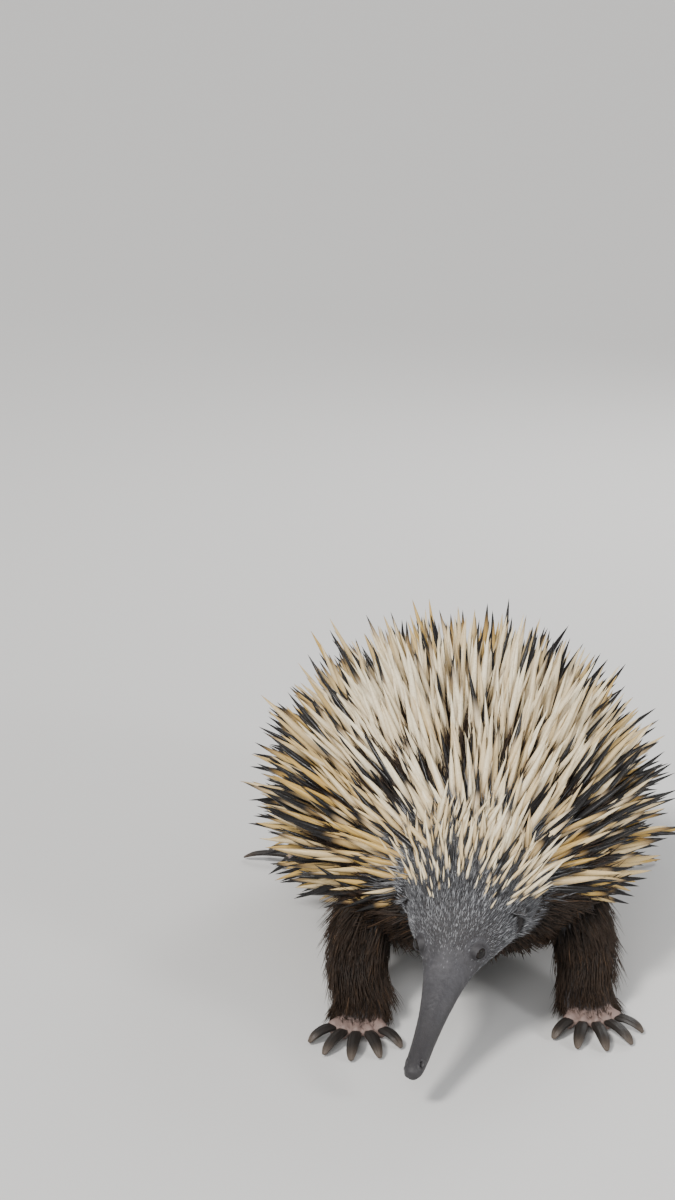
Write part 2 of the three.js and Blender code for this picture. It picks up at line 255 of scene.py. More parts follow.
TRUNK = Form(evenly(TRUNK_GIRTHS, TRUNK_FRONT, TRUNK_LENGTH), (-1, 0, 0), 2.5)
HEAD_PLACE = set_down(NECK, HEAD_TURN) @ Matrix.Rotation(HEAD_DROP, 4, "X")
HEAD = Form(evenly(HEAD_GIRTHS, HEAD_BEHIND, -HEAD_LENGTH), (1, 0, 0), 7, HEAD_PLACE)
TAIL = Form(TAIL_GIRTHS, (-1, 0, 0), 3)


def head_at(ahead):
    """How far along the head's form a place is that lies some millimetres ahead of the neck's pivot."""
    return (HEAD_BEHIND + ahead) / HEAD_LENGTH


def digit_spot(plan, side, fan, reach, height):
    angle = side * fan * DEG
    x, y = plan["palm"]
    return (side * x + math.sin(angle) * reach, y - math.cos(angle) * reach, height)


def across_digit(side, fan):
    return (math.cos(side * fan * DEG), math.sin(side * fan * DEG), 0)


def toe_forms(plan, side, place):
    """Each toe, from inside the foot to just past its claw's root."""
    toes = []
    for fan, _ in plan["digits"]:
        root = digit_spot(plan, side, fan, plan["toe_reach"] - 10, 6.8)
        tip = digit_spot(plan, side, fan, plan["toe_reach"] + 5, 4.8)
        girth = plan["claw_wide"] + 1.5
        stations = [(root, girth, 4.0, 4.8), (tip, girth, 4.1, 4.6)]
        toes.append(Form(stations, across_digit(side, fan), 4, place))
    return toes


# The left forefoot and the right hind foot stand a stride further back than their fellows
Leg = namedtuple("Leg", "plan side place form toes")
LEGS = {}
for side_name, side in SIDES.items():
    for kind, plan, step in (("foreleg", FORELEG, 1), ("hindleg", HINDLEG, -1)):
        x, y = plan["stance"]
        place = set_down((side * x, y + step * side * STRIDE / 2, 0), side * plan["turn"])
        stations = [((side * at[0], at[1], at[2]), *girth) for at, *girth in plan["girths"]]
        form = Form(stations, (1, 0, 0), 3.5, place)
        LEGS[f"{kind}_{side_name}"] = Leg(plan, side, place, form, toe_forms(plan, side, place))

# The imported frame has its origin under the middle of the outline, and the left eye's box tells how far off
# that is
eye_low, eye_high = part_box("eye_left")
eye_in_form = HEAD.place(head_at(EYE["ahead"]), EYE["angle"], -EYE["sunk"])
SHIFT = np.array((eye_low + eye_high) / 2) / MM - eye_in_form


def metres(points):
    """Points of the animal's frame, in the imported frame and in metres."""
    return (np.asarray(points) + SHIFT) * MM


# Meshes


def deselect():
    if bpy.context.object and bpy.context.object.mode != "OBJECT":
        bpy.ops.object.mode_set(mode="OBJECT")
    bpy.ops.object.select_all(action="DESELECT")


def choose(obj):
    deselect()
    obj.select_set(True)
    bpy.context.view_layer.objects.active = obj


def triples(items, key):
    """Three numbers for each vertex or face of a mesh."""
    found = np.empty(len(items) * 3)
    items.foreach_get(key, found)
    return found.reshape(-1, 3)


def spots(obj):
    return triples(obj.data.vertices, "co")


def outward(obj):
    return triples(obj.data.vertices, "normal")


def set_spots(obj, points):
    obj.data.vertices.foreach_set("co", points.ravel())
    obj.data.update()


def apply_modifier(obj, kind, **settings):
    choose(obj)
    modifier = obj.modifiers.new(kind.lower(), kind)
    for key, value in settings.items():
        setattr(modifier, key, value)
    bpy.ops.object.modifier_apply(modifier=modifier.name)


def finished(obj, finish):
    """Smooth shading and a material."""
    choose(obj)
    bpy.ops.object.shade_smooth()
    obj.data.materials.append(finish)


def give(obj, **attributes):
    """Numbers for each vertex, which the materials read by their names."""
    for key, values in attributes.items():
        made = obj.data.attributes.new(key, "FLOAT", "POINT")
        made.data.foreach_set("value", values.astype(np.float32))


def unit_sphere(name, around, along):
    deselect()
    bpy.ops.mesh.primitive_uv_sphere_add(segments=around, ring_count=along, radius=1)
    made = bpy.context.object
    made.name = made.data.name = name
    return made


def swept(name, form, around, along, lift=0.0):
    """A sphere whose rings are moved out to a form, in metres."""
    made = unit_sphere(name, around, along)
    x, y, z = spots(made).T
    set_spots(made, metres(form.skin((1 - z) / 2, np.arctan2(x, y), lift)))
    return made


def joined(name, parts):
    deselect()
    for part in parts:
        part.select_set(True)
    bpy.context.view_layer.objects.active = parts[0]
    bpy.ops.object.join()
    made = bpy.context.object
    made.name = made.data.name = name
    return made


def in_scene(name, data):
    made = bpy.data.objects.new(name, data)
    bpy.context.scene.collection.objects.link(made)
    return made


def mesh_of(name, points, triangles, bake_map):
    """A smooth mesh from arrays, with the map that its colours are baked on."""
    mesh = bpy.data.meshes.new(name)
    mesh.vertices.add(len(points))
    mesh.vertices.foreach_set("co", points.astype(np.float32).ravel())
    mesh.loops.add(triangles.size)
    mesh.loops.foreach_set("vertex_index", triangles.astype(np.int32).ravel())
    mesh.polygons.add(len(triangles))
    mesh.polygons.foreach_set("loop_start", np.arange(0, triangles.size, 3, dtype=np.int32))
    mesh.polygons.foreach_set("use_smooth", np.ones(len(triangles), bool))
    mesh.update(calc_edges=True)
    layer = mesh.uv_layers.new(name="OFBake")
    layer.data.foreach_set("uv", bake_map[triangles.ravel()].astype(np.float32).ravel())
    return in_scene(name, mesh)


# Shaders


def plug(tree, value, socket):
    """Links a wire to a socket, or sets the socket."""
    if isinstance(value, Wire):
        tree.links.new(value.socket, socket)
    else:
        socket.default_value = value


class Wire:
    """A socket of a material, on which Python's arithmetic adds Math nodes."""

    def __init__(self, tree, socket):
        self.tree = tree
        self.socket = socket

    def _math(self, operation, *values):
        node = self.tree.nodes.new("ShaderNodeMath")
        node.operation = operation
        for slot, value in zip(node.inputs, values):
            plug(self.tree, value, slot)
        return Wire(self.tree, node.outputs[0])

    def __add__(self, other):
        return self._math("ADD", self, other)

    def __sub__(self, other):
        return self._math("SUBTRACT", self, other)

    def __rsub__(self, other):
        return self._math("SUBTRACT", other, self)

    def __mul__(self, other):
        return self._math("MULTIPLY", self, other)

    __radd__ = __add__
    __rmul__ = __mul__

    def step(self, low, high):
        """From 0 at low to 1 at high, smoothly. Low may be the larger of the two."""
        node = self.tree.nodes.new("ShaderNodeMapRange")
        node.interpolation_type = "SMOOTHSTEP"
        self.tree.links.new(self.socket, node.inputs["Value"])
        node.inputs["From Min"].default_value = low
        node.inputs["From Max"].default_value = high
        return Wire(self.tree, node.outputs["Result"])


class Nodes:
    """Adds nodes to a tree and feeds them to one shader."""

    def __init__(self, tree, shader, **fixed):
        self.tree = tree
        self.shader = tree.nodes[shader]
        for key, value in fixed.items():
            self.shader.inputs[key.replace("_", " ")].default_value = value

    def node(self, kind, settings=None, output=0, **values):
        """Adds a node, sets it, fills its sockets with values or links, and gives one of its outputs."""
        node = self.tree.nodes.new("ShaderNode" + kind)
        for key, value in (settings or {}).items():
            setattr(node, key, value)
        for key, value in values.items():
            plug(self.tree, value, node.inputs[key.replace("_", " ")])
        return Wire(self.tree, node.outputs[output])

    def attribute(self, name):
        return self.node("Attribute", {"attribute_name": name}, output="Fac")

    def place(self):
        return self.node("TexCoord", output="Object")

    def noise(self, scale, detail=3.0, roughness=0.5, vector=None):
        vector = vector or self.place()
        return self.node("TexNoise", Vector=vector, Scale=scale, Detail=detail, Roughness=roughness)

    def blend(self, share, a, b):
        """A colour from a to b."""
        node = self.tree.nodes.new("ShaderNodeMix")
        node.data_type = "RGBA"
        for slot, value in (("Factor_Float", share), ("A_Color", a), ("B_Color", b)):
            value = (*value, 1) if isinstance(value, tuple) else value
            plug(self.tree, value, next(s for s in node.inputs if s.identifier == slot))
        return Wire(self.tree, next(s for s in node.outputs if s.identifier == "Result_Color"))

    def feed(self, **wires):
        """Links wires to some of the shader's sockets."""
        for name, wire in wires.items():
            self.tree.links.new(wire.socket, self.shader.inputs[name.replace("_", " ")])

    def bump(self, height, distance, strength, normal=None):
        values = {"Height": height, "Distance": distance, "Strength": strength}
        if normal is not None:
            values["Normal"] = normal
        return self.node("Bump", **values)


class Finish(Nodes):
    """A material with a Principled shader."""

    def __init__(self, name, **fixed):
        self.material = bpy.data.materials.new(name)
        self.material.use_nodes = True
        super().__init__(self.material.node_tree, "Principled BSDF", **fixed)


def hide_finish():
    """Bare skin: slate grey, nearly black at the beak's tip and under the coat, pinkish on toes and soles."""
    finish = Finish("hide", Roughness=0.55, Specular_IOR_Level=0.34)
    bare, pale, lid, muzzle = map(finish.attribute, ("bare", "pale", "lid", "muzzle"))
    mottle = finish.noise(140, 4.0, 0.6)
    grain = finish.node("TexVoronoi", {"feature": "DISTANCE_TO_EDGE"}, Vector=finish.place(), Scale=1700.0)
    pores = finish.node("TexVoronoi", Vector=finish.place(), Scale=1100.0)
    wrinkles = finish.noise(520, 5.0, 0.7)
    colour = finish.blend(bare, (0.036, 0.032, 0.032), (0.055, 0.054, 0.060))
    colour = finish.blend(mottle.step(0.40, 0.72) * (bare * 0.25 + 0.25), colour, (0.108, 0.104, 0.111))
    # Painted shade in the hollows of the wrinkles
    colour = finish.blend(wrinkles.step(0.62, 0.42) * 0.4, colour, (0.028, 0.026, 0.029))
    colour = finish.blend(muzzle * (mottle * 0.5 + 0.52), colour, (0.027, 0.025, 0.026))
    colour = finish.blend(pale * (mottle * 0.4 + 0.7), colour, (0.34, 0.235, 0.20))
    # Darker skin round each eye, and painted shade in each ear's hollow
    colour = finish.blend(lid * 0.55, colour, (0.026, 0.024, 0.025))
    relief = finish.bump(wrinkles, 0.0007, 0.55)
    relief = finish.bump(pores.step(0.05, 0.32), 0.00012, 0.5, relief)
    relief = finish.bump(grain.step(0.0, 0.12), 0.00008, 0.35, relief)
    roughness = mottle.step(0.2, 0.8) * 0.2 + 0.42 - muzzle * 0.12
    finish.feed(Base_Color=colour, Roughness=roughness, Normal=relief)
    return finish.material


def spine_finish():
    """Smooth horn: cream or ochre with painted shade in dark brown towards the root, most with a dark tip and
    some dark all along.
    """
    finish = Finish("spine_horn", Specular_IOR_Level=0.25)
    along, dark, warm = map(finish.attribute, ("along", "dark", "warm"))
    streak = finish.noise(700, 2.0, 0.5)
    horn = finish.blend(warm, (0.84, 0.74, 0.53), (0.50, 0.325, 0.090))
    # Painted shade: dark brown towards each spine's root, where the spines crowd together
    horn = finish.blend(along.step(0.55, 0.05) * 0.8, horn, (0.36, 0.235, 0.105))
    horn = finish.blend(streak.step(0.45, 0.75) * 0.3, horn, (0.40, 0.24, 0.09))
    shade = along + dark - 1
    horn = finish.blend(shade.step(-0.26, 0.02) * 0.6, horn, (0.16, 0.085, 0.035))
    horn = finish.blend(shade.step(-0.08, 0.14), horn, (0.011, 0.010, 0.010))
    finish.feed(Base_Color=horn, Roughness=streak * 0.16 + 0.21, Normal=finish.bump(streak, 0.00012, 0.5))
    return finish.material


def fur_finish(name, root, tip, grizzle, share):
    """Hair that lightens from root to tip, with a share of its tufts grizzled."""
    finish = Finish(name, Roughness=0.62, Specular_IOR_Level=0.35)
    along, shade = map(finish.attribute, ("along", "shade"))
    patch = finish.noise(45, 3.0, 0.55)
    colour = finish.blend(along.step(0.1, 1.0), root, tip)
    colour = finish.blend((shade + patch * 0.6).step(1.45 - share, 1.75 - share) * 0.85, colour, grizzle)
    finish.feed(Base_Color=colour, Roughness=shade * 0.2 + 0.48)
    return finish.material


def claw_finish():
    """Ridged horn, brown black at the root and worn paler at the tip."""
    finish = Finish("claw_horn", Specular_IOR_Level=0.34)
    along, across = map(finish.attribute, ("along", "across"))
    grain = finish.noise(300, 4.0, 0.6)
    lengthways = finish.node("CombineXYZ", X=across * 9, Y=along * 1.2)
    streak = finish.noise(1.0, 3.0, 0.6, lengthways)
    colour = finish.blend(along.step(0.50, 1.05), (0.014, 0.012, 0.011), (0.085, 0.064, 0.048))
    colour = finish.blend(streak.step(0.42, 0.68) * 0.4, colour, (0.046, 0.036, 0.029))
    colour = finish.blend(grain.step(0.50, 0.75) * 0.35, colour, (0.022, 0.018, 0.016))
    relief = finish.bump(streak + grain * 0.25, 0.0004, 0.7)
    finish.feed(Base_Color=colour, Roughness=streak * 0.2 + grain * 0.2 + 0.22, Normal=relief)
    return finish.material


def eye_finish():
    """A wet black eye with a dark brown iris."""
    finish = Finish("wet_eye", Roughness=0.05, IOR=1.38)
    iris = finish.attribute("iris")
    grain = finish.noise(2200, 2.0, 0.5)
    colour = finish.blend(iris * grain.step(0.3, 0.7) * 0.8, (0.003, 0.0025, 0.0025), (0.014, 0.008, 0.005))
    finish.feed(Base_Color=colour)
    return finish.material


# Skin


def head_frame(points):
    """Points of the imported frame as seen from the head: side, ahead and up in millimetres."""
    local = (points / MM - SHIFT - HEAD.shift) @ HEAD.turn
    return local[:, 0], -local[:, 1], local[:, 2]


def bvh_of(obj):
    return BVHTree.FromPolygons([v.co for v in obj.data.vertices], [p.vertices for p in obj.data.polygons])


def bvh_of_form(form, around, along, lift):
    """A fine net over a form, to set points on."""
    turns = np.arange(around) * 2 * math.pi / around
    t, angle = np.meshgrid(np.linspace(0, 1, along + 1), turns, indexing="ij")
    points = metres(form.skin(t.ravel(), angle.ravel(), lift))
    row, step = np.meshgrid(np.arange(along), np.arange(around), indexing="ij")
    here, beside = row * around + step, row * around + (step + 1) % around
    quads = np.stack([here, beside, beside + around, here + around], -1).reshape(-1, 4)
    return BVHTree.FromPolygons(points.tolist(), quads.tolist())


def nearest(tree, points):
    """The nearest place on a surface to each point, with its normal and how far it is."""
    found = [tree.find_nearest(Vector(p)) for p in points]
    return [np.array([f[k] for f in found]) for k in (0, 1, 3)]


def away_from(points, places):
    """How far each point is from the nearest of the places."""
    return np.min([np.linalg.norm(points - place, axis=1) for place in places], axis=0)


def refine(obj, chosen):
    """Divides each face whose middle is one of those that chosen picks."""
    choose(obj)
    bpy.ops.object.mode_set(mode="EDIT")
    bpy.ops.mesh.select_mode(type="FACE")
    bpy.ops.mesh.select_all(action="DESELECT")
    bpy.ops.object.mode_set(mode="OBJECT")
    obj.data.polygons.foreach_set("select", chosen(triples(obj.data.polygons, "center")))
    bpy.ops.object.mode_set(mode="EDIT")
    bpy.ops.mesh.subdivide(number_cuts=1)
    bpy.ops.object.mode_set(mode="OBJECT")


VOXEL = 0.0015
FUR_DEPTH = {"trunk": 1.0, "head": 1.2, "leg": 3.0, "tail": 1.5}  # how far each skin lies inside its form
HEAD_ROOM = 45  # the head lies within this of its axis
WEIGHT_STEPS = 8


def raw_skin():
    parts = [
        swept("trunk_skin", TRUNK, 96, 72, -FUR_DEPTH["trunk"]),
        swept("head_skin", HEAD, 96, 128, -FUR_DEPTH["head"]),
        swept("tail_skin", TAIL, 48, 36, -FUR_DEPTH["tail"]),
    ]
    for name, leg in LEGS.items():
        parts.append(swept(name + "_skin", leg.form, 48, 64, -FUR_DEPTH["leg"]))
        parts += [swept("toe_skin", toe, 24, 24) for toe in leg.toes]
    return joined("skin", parts)


def near_head(side, up):
    return np.hypot(side, up) < HEAD_ROOM


def head_share(points, low, high):
    """0 up to low millimetres ahead of the neck's pivot and off the head, and 1 on the head from high."""
    side, ahead, up = head_frame(points)
    return smoothstep(ahead, low, high) * near_head(side, up)


def apply_by_share(obj, share, kind, **settings):
    """Applies a modifier with a weight for each vertex, which is rounded up to a few steps."""
    group = obj.vertex_groups.new(name="share")
    level = np.ceil(np.clip(share, 0, 1) * WEIGHT_STEPS).astype(int)
    for step in range(1, WEIGHT_STEPS + 1):
        group.add(np.flatnonzero(level == step).tolist(), step / WEIGHT_STEPS, "REPLACE")
    apply_modifier(obj, kind, vertex_group="share", **settings)
    obj.vertex_groups.clear()


def shape_head(skin, head_tree):
    """Sets the head's skin on its true form, with a hold that grows from the ears forwards."""
    points = spots(skin)
    held = head_share(points, 22, 34)
    chosen = np.flatnonzero(held > 0)
    target, out, _ = nearest(head_tree, points[chosen])
    # Round the eyes the hair is short, so the skin fills the form
    short_hair = falling(away_from(target, eye_spots()), 0.005, 0.015)
    target = target + out * (FUR_DEPTH["head"] * MM * short_hair)[:, None]
    points[chosen] += (target - points[chosen]) * held[chosen, None]
    set_spots(skin, points)


def eye_places():
    """Each eye's side and centre, the way that it looks, and the ways along its slit and up."""
    for name, side in SIDES.items():
        t, angle = head_at(EYE["ahead"]), side * EYE["angle"]
        centre = metres(HEAD.place(t, angle, -EYE["sunk"]))
        out, ahead = (v[0] for v in HEAD.facing(np.array([t]), np.array([angle])))
        up = np.cross(out, ahead) * side
        yield name, centre, out, ahead, up


def eye_spots():
    return [centre for _, centre, *_ in eye_places()]


def ear_spots():
    """The middle of each ear's hollow."""
    return [metres(HEAD.place(head_at(EAR["ahead"] + 3), s * EAR["angle"], 0)) for s in SIDES.values()]


EYE_ROOM = 11  # how far from an eye's centre its lids may change the skin
EYE_OPENING = (3.0, 2.25)  # half the slit's length and height
LID = (0.4, 0.35)  # how thick the lower lid is, and by how much the upper one is thicker
LID_FOLDS = ((1.75, 0.30), (2.15, 0.22), (2.6, 0.14))  # how far out, as a share of the opening, and how deep


def set_lids(points):
    """Draws the skin in behind each eyeball, and lays lids with a rounded rim and folds over its edge."""
    ball = EYE["radius"]
    for _, centre, out, ahead, up in eye_places():
        near = np.flatnonzero(np.linalg.norm(points - centre, axis=1) < EYE_ROOM * MM)
        v = (points[near] - centre) / MM
        height, along, rise = v @ out, v @ ahead, v @ up
        reach = np.hypot(along / EYE_OPENING[0], rise / EYE_OPENING[1])
        spread = np.maximum(np.hypot(along, rise), 1e-6)
        # The skin that the opening would take in stands up as the lids' inner wall
        drawn = np.where(reach < 0.7, reach / 0.7, np.maximum(reach, 1))
        new_spread = spread * drawn / np.maximum(reach, 1e-6)
        lid = LID[0] + LID[1] * np.clip(rise / spread, 0, 1)
        over_ball = np.sqrt(np.maximum((ball + lid) ** 2 - new_spread**2, 1.0))
        over_ball = over_ball - 0.22 * bell(reach - 1, 0.07)
        for fold, depth in LID_FOLDS:
            wave = fold + 0.07 * np.sin(3 * np.arctan2(rise, along) + 5 * fold)
            over_ball = over_ball - depth * (0.4 + 0.6 * np.abs(rise) / spread) * bell(reach - wave, 0.10)
        wanted = 1.0 + (over_ball - 1.0) * smoothstep(reach, 0.7, 1.0)
        wanted = wanted + (height - wanted) * smoothstep(spread, 3.9, 7.2)
        grow = np.where(reach < 1, drawn / np.maximum(reach, 1e-6), 1)
        points[near] = centre + MM * (
            out * wanted[:, None] + ahead * (along * grow)[:, None] + up * (rise * grow)[:, None]
        )
    return points


def carve_face(points, normals):
    """The nostrils, the mouth's line and lips, the ears' slits, the brows, and the beak's tip and folds."""
    side, ahead, up = head_frame(points)
    on_head = near_head(side, up)
    above = up - curve_at(HEAD.centres, head_at(ahead))[:, 2]
    on_top = above > 0
    move = np.zeros(len(points))
    for s in SIDES.values():
        # A nostril with a raised rim
        spot = HEAD.place(head_at(NOSTRIL["ahead"]), s * NOSTRIL["angle"], 0)
        hole_side, hole_ahead, _ = head_frame(metres(spot)[None])
        away = np.hypot((side - hole_side) / 0.8, (ahead - hole_ahead - 0.25 * (side - hole_side) * s) / 1.7)
        move -= on_top * 1.7 * falling(away, 0.6, 1.15)
        move += on_top * 0.35 * bell(away - 1.65, 0.45)
        # An ear's slit behind a raised edge
        slit = HEAD.place(head_at(EAR["ahead"]), s * EAR["angle"], 0)
        _, slit_ahead, slit_up = head_frame(metres(slit)[None])
        on_side = side * s > 0
        bend = (up - slit_up) / EAR["tall"]
        ridge = ahead - slit_ahead + EAR["long"] * (1 - bend**2) * 0.9
        tall = falling(np.abs(bend), 0.70, 1.05)
        move += on_side * tall * 2.6 * bell(ridge, 1.3)
        move -= on_side * tall * 3.4 * bell(ridge - 3.0, 1.6)
    for _, centre, out, forward, rise in eye_places():
        # A brow, and a hollow ahead of the eye
        v = (points - centre) / MM
        brow = np.hypot((v @ forward + 1) / 6, (v @ rise - 6.2) / 2.2)
        hollow = np.hypot((v @ forward - 8.5) / 4.5, (v @ rise + 0.5) / 4)
        move += (np.abs(v @ out) < 8) * (0.9 * bell(brow, 1) - 0.7 * bell(hollow, 1))
    # The mouth's line between two lips
    mouth_line = above + MOUTH_DROP
    long = smoothstep(ahead, 104, 113)
    move -= long * 1.1 * falling(np.abs(mouth_line), 0.22, 0.55)
    move += long * 0.28 * bell(np.abs(mouth_line) - 1.1, 0.5)
    # The beak's tip is rounded off
    to_tip = np.clip((ahead - 120) / 6.6, 0, 1)
    move -= 3.2 * (1 - np.sqrt(np.maximum(1 - to_tip**2.4, 0.04))) * np.hypot(side, above) / 5.5
    # Fine folds round the beak
    beak = smoothstep(ahead, 50, 64) * falling(ahead, 98, 108)
    waver = np.sin(side * 0.9) * 2.4 + np.sin(above * 0.9 + ahead * 0.3) * 2.2
    folds = np.sin(ahead * 1.7 + waver) * 0.5 + 0.5
    move -= beak * 0.07 * folds**4
    return points + normals * (move * on_head * MM)[:, None]


def foot_frame(name, points):
    """Points as seen from a foot's palm: fan angle in degrees, reach and height in millimetres."""
    leg = LEGS[name]
    inverse = np.array(leg.place.inverted())
    local = (points / MM - SHIFT) @ inverse[:3, :3].T + inverse[:3, 3]
    dx = local[:, 0] - leg.side * leg.plan["palm"][0]
    dy = local[:, 1] - leg.plan["palm"][1]
    return np.degrees(np.arctan2(leg.side * dx, -dy)), np.hypot(dx, dy), local[:, 2]


def on_toes(name, points, first, last):
    """0 on the foot and 1 on its toes, with a rise from first to last millimetres past the toes' reach."""
    fan, reach, height = foot_frame(name, points)
    start = LEGS[name].plan["toe_reach"]
    ahead = falling(np.abs(fan), 56, 72)
    level = falling(height, 12, 16)
    return ahead * level * smoothstep(reach, start + first, start + last) * falling(reach, 26, 30)


KNUCKLES = (9.5, 12.0, 14.0)  # their creases' reach from the palm


def carve_feet(points, normals):
    """Grooves between the toes, creases over their knuckles and a fold of skin round each claw's root."""
    move = np.zeros(len(points))
    for name, leg in LEGS.items():
        fan, reach, height = foot_frame(name, points)
        on_foot = (height < 18) * falling(reach, 23, 27)
        fans = [digit[0] for digit in leg.plan["digits"]]
        for one, other in zip(fans, fans[1:]):
            between = bell(fan - (one + other) / 2, 5.0)
            move -= on_foot * 2.2 * between * smoothstep(reach, 7, 15)
        toe = np.max([bell(fan - f, 7.5) for f in fans], axis=0)
        for crease in KNUCKLES:
            move -= on_foot * toe * 0.35 * bell(reach - crease, 0.7)
        move += on_foot * toe * 0.5 * bell(reach - leg.plan["toe_reach"] - 3.4, 1.2)
    return points + normals * (move * MM)[:, None]


def on_head(points, first):
    """Which points lie on the head, more than first millimetres ahead of the neck's pivot."""
    side, ahead, up = head_frame(points)
    return (ahead > first) & near_head(side, up)


def round_eyes(points, far):
    return away_from(points, eye_spots()) < far * MM


def make_skin():
    skin = raw_skin()
    apply_modifier(skin, "REMESH", mode="VOXEL", voxel_size=VOXEL)
    points = spots(skin)
    on_foot = falling(points[:, 2], 0.016, 0.030)
    soft = (1 - 0.85 * on_foot) * (1 - head_share(points, 30, 45))
    apply_by_share(skin, soft, "SMOOTH", factor=0.5, iterations=14)
    # The trunk's skin lies under the spines, so it keeps fewer faces
    points = spots(skin)
    covered = smoothstep(points[:, 2], 0.034, 0.044) * (1 - head_share(points, 2, 8))
    apply_by_share(skin, covered, "DECIMATE", ratio=0.42, vertex_group_factor=10.0)
    refine(skin, lambda middles: on_head(middles, 16))
    refine(skin, lambda middles: on_head(middles, 104) | round_eyes(middles, 9.5))
    refine(skin, lambda middles: round_eyes(middles, 6.2))
    shape_head(skin, bvh_of_form(HEAD, 320, 400, -FUR_DEPTH["head"]))
    apply_by_share(skin, head_share(spots(skin), 20, 34), "SMOOTH", factor=0.5, iterations=3)
    set_spots(skin, set_lids(spots(skin)))
    set_spots(skin, carve_face(spots(skin), outward(skin)))
    set_spots(skin, carve_feet(spots(skin), outward(skin)))
    points = spots(skin)
    points[:, 2] = np.maximum(points[:, 2], 0.0)
    set_spots(skin, points)
    to_eye = away_from(points, eye_spots())
    to_ear = away_from(points, ear_spots())
    sole = smoothstep(-outward(skin)[:, 2], 0.5, 0.9) * falling(points[:, 2], 0.004, 0.012)
    toes = np.max([on_toes(name, points, -7, -2) for name in LEGS], axis=0)
    give(
        skin,
        bare=np.maximum(head_share(points, 46, 62), falling(to_eye, 0.006, 0.010)),
        pale=np.maximum(sole * 0.8, toes * 0.62),
        # lid is darker skin round each eye, and painted shade in each ear's hollow
        lid=np.maximum(falling(to_eye, 0.0042, 0.0065), falling(to_ear, 0.002, 0.0045)),
        muzzle=head_share(points, 56, 112),
    )
    return skin


# Eyes and claws


def make_eyes(finish):
    eyes = []
    for name, centre, out, ahead, _ in eye_places():
        eye = unit_sphere(f"eyeball_{name}", 48, 32)
        ball = spots(eye)
        height = ball[:, 2]
        bulge = 1 + 0.05 * smoothstep(height, 0.72, 0.92)
        points = ball * bulge[:, None] * EYE["radius"] * MM
        set_spots(eye, centre + points @ np.array([ahead, np.cross(out, ahead), out]))
        give(eye, iris=smoothstep(height, 0.60, 0.70) * falling(height, 0.93, 0.96))
        finished(eye, finish)
        eyes.append((eye, name))
    return eyes


# How far along each station lies, its height, its width in the claw's own, and its thickness
CLAW_GIRTHS = [(0, 5.5, 1, 2.3), (0.4, 6, 1, 2), (0.75, 4.6, 0.85, 1.6), (1, 1.6, 0.45, 0.9)]


def make_claws(name, finish):
    """One foot's claws: flattened, ridged along the top and hollowed beneath."""
    leg = LEGS[name]
    parts = []
    for fan, length in leg.plan["digits"]:
        stations = []
        for along, height, wide, thick in CLAW_GIRTHS:
            reach = leg.plan["toe_reach"] + 2 + along * length
            spot = digit_spot(leg.plan, leg.side, fan, reach, height)
            stations.append((spot, wide * leg.plan["claw_wide"], thick, thick))
        form = Form(stations, across_digit(leg.side, fan), 5, leg.place)
        claw = unit_sphere("claw", 28, 36)
        x, y, z = spots(claw).T
        t, turn = (1 - z) / 2, np.arctan2(x, y)
        below = smoothstep(-np.cos(turn), 0.35, 1.0)
        ridge = 0.16 * np.sin(turn * 7) * (1 - below) - 0.9 * below
        ridge = ridge * smoothstep(t, 0.05, 0.25) * falling(t, 0.8, 1)
        points = metres(form.skin(t, turn)) + form.facing(t, turn)[0] * (ridge * MM)[:, None]
        points[:, 2] = np.maximum(points[:, 2], OFF_FLOOR)
        set_spots(claw, points)
        # Laid on its form, the sphere has its faces inwards
        claw.data.flip_normals()
        give(claw, along=t, across=np.sin(turn))
        parts.append(claw)
    claws = joined("claws_" + name, parts)
    finished(claws, finish)
    return claws


# Coat

BAKE_PATCH = 0.003  # how large each strand's patch of the baked map is


class Roots:
    """Places on the skin from which a coat grows, with the way out of the skin and the lie of the coat.

    Those that lie further than near millimetres from their form are left out. The coat lies along the form,
    or against it where toward is -1.
    """

    def __init__(self, form, apart, span, start, end, seed, stray=0.5, near=4.0, toward=1):
        self.rng = np.random.default_rng(seed)
        self.t, self.angle = form.rows(apart, span, start, end, self.rng, stray)
        self.point, self.out, away = nearest(skin_tree, metres(form.skin(self.t, self.angle)))
        backward = form.facing(self.t, self.angle)[1] * toward
        self.lie = unit(backward - self.out * dot(backward, self.out))
        self.round = np.cross(self.out, self.lie)
        self.keep(away < near * MM)

    def __len__(self):
        return len(self.t)

    def keep(self, chosen):
        for key in ("t", "angle", "point", "out", "lie", "round"):
            setattr(self, key, getattr(self, key)[chosen])
        return self

    def clear(self, places, far):
        """Keeps the roots that are more than far millimetres from each of the places."""
        self.keep(away_from(self.point, places) > far * MM)

    def split(self, chosen):
        """The chosen roots and the others."""
        return copy.copy(self).keep(chosen), self.keep(~chosen)

    def chance(self):
        return self.rng.uniform(0, 1, len(self))

    def vary(self, most):
        return self.rng.uniform(-most, most, len(self))

    def bake_spot(self):
        """Each root's place on the form's skin cut open along its underside and laid flat."""
        around = (self.angle / (2 * math.pi) + 0.5) % 1
        return np.stack([around, self.t], 1) * (1 - BAKE_PATCH)


